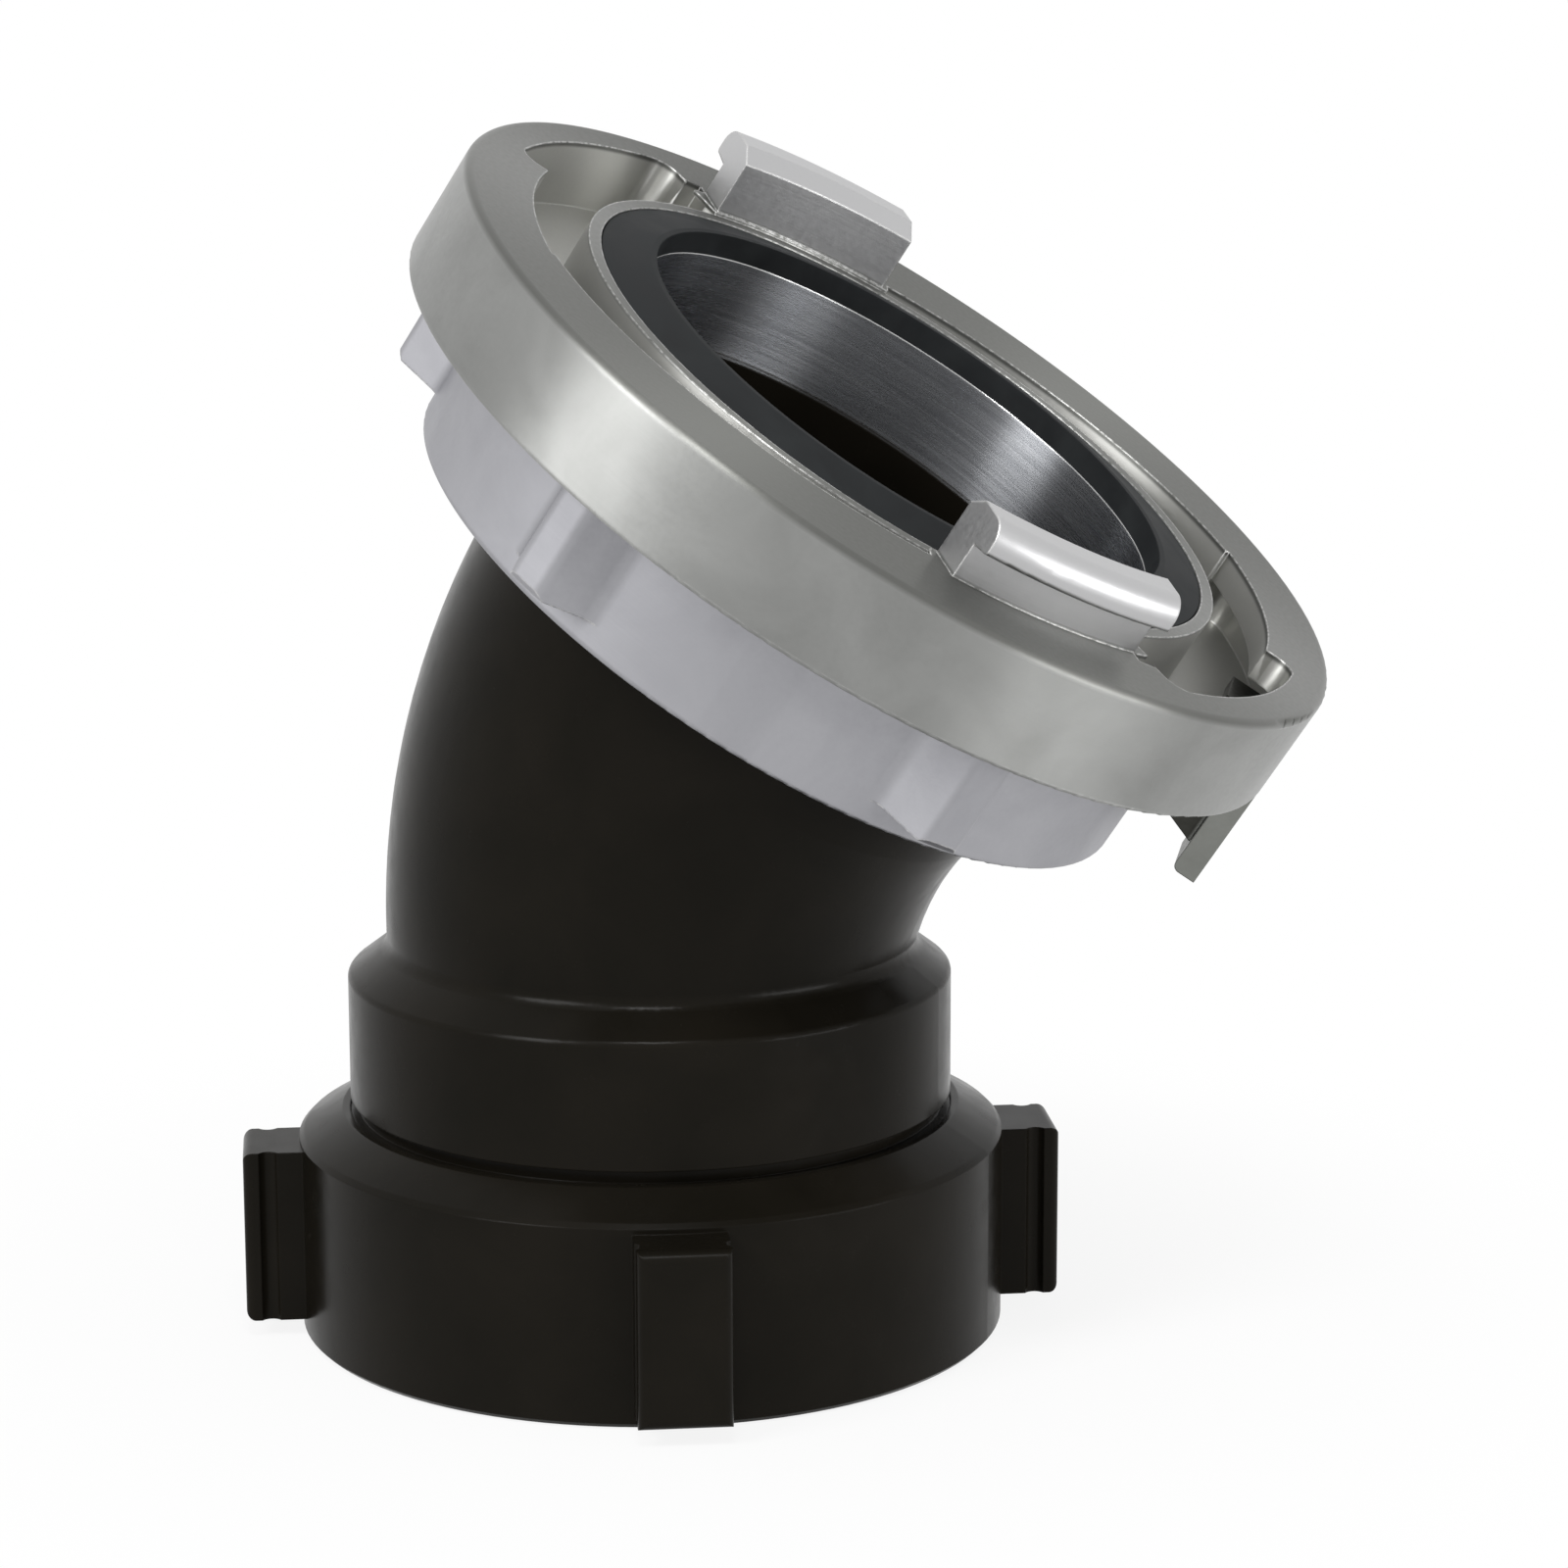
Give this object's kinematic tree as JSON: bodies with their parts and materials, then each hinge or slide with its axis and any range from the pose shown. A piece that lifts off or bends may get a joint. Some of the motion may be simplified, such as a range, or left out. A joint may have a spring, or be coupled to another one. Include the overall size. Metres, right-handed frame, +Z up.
{
  "type": "fire hose elbow adapter",
  "caption": "Bent fire hose adapter: a claw coupling head with a turning ring and lock lever at one end, a female threaded swivel with rocker lugs at the other.",
  "frame": {"origin": "centre of the threaded swivel's lower face, on the plane that the adapter stands on", "axes": "+Z up along the swivel's axis and into the body; the body bends in the XZ plane towards +X; -Y looks at the near side"},
  "size_m": [0.2214, 0.203, 0.25],
  "materials": {
    "black_casting": "black hard coat, satin",
    "black_swivel": "black hard coat, satin",
    "ring_casting": "cast and turned, grey coat",
    "lever_casting": "cast, grey coat",
    "machined_shank": "turned bright",
    "seal_rubber": "moulded",
    "bright_steel": "plain",
    "wear_plastic": "natural"
  },
  "bodies": {
    "elbow": {"elbow_body": "black_casting", "tail_seal_ring": "seal_rubber", "tail_gasket": "seal_rubber", "head_shank": "machined_shank", "shank_seal_ring": "seal_rubber", "grub_screw_1": "bright_steel", "grub_screw_2": "bright_steel", "grub_screw_3": "bright_steel", "head_gasket": "seal_rubber", "front_washer": "wear_plastic", "rear_washer": "wear_plastic", "snap_ring": "bright_steel"},
    "claw_ring": {"lug_ring": "ring_casting", "lever_pin": "bright_steel", "lever_spring": "bright_steel"},
    "lock_lever": {"lock_lever": "lever_casting"},
    "swivel": {"thread_swivel": "black_swivel", "retaining_wire": "bright_steel", "wire_plug": "bright_steel"}
  },
  "joints": [
    {"name": "claw_ring_turn", "type": "hinge", "parent": "elbow", "child": "claw_ring", "pos_m": [0.05602, 0, 0.19464], "axis": [0.5519, 0, 0.8339], "continuous": true},
    {"name": "lock_lever_press", "type": "hinge", "parent": "claw_ring", "child": "lock_lever", "pos_m": [0.1224, 0.0147, 0.12672], "axis": [-0.1304, 0.9877, 0.0863], "range_deg": [0, 20], "stiffness_Nm_per_rad": 0.15, "springref_deg": -20.05, "deforming": ["lever_spring"]},
    {"name": "swivel_turn", "type": "hinge", "parent": "elbow", "child": "swivel", "pos_m": [0, 0, 0], "axis": [0, 0, 1], "continuous": true}
  ]
}
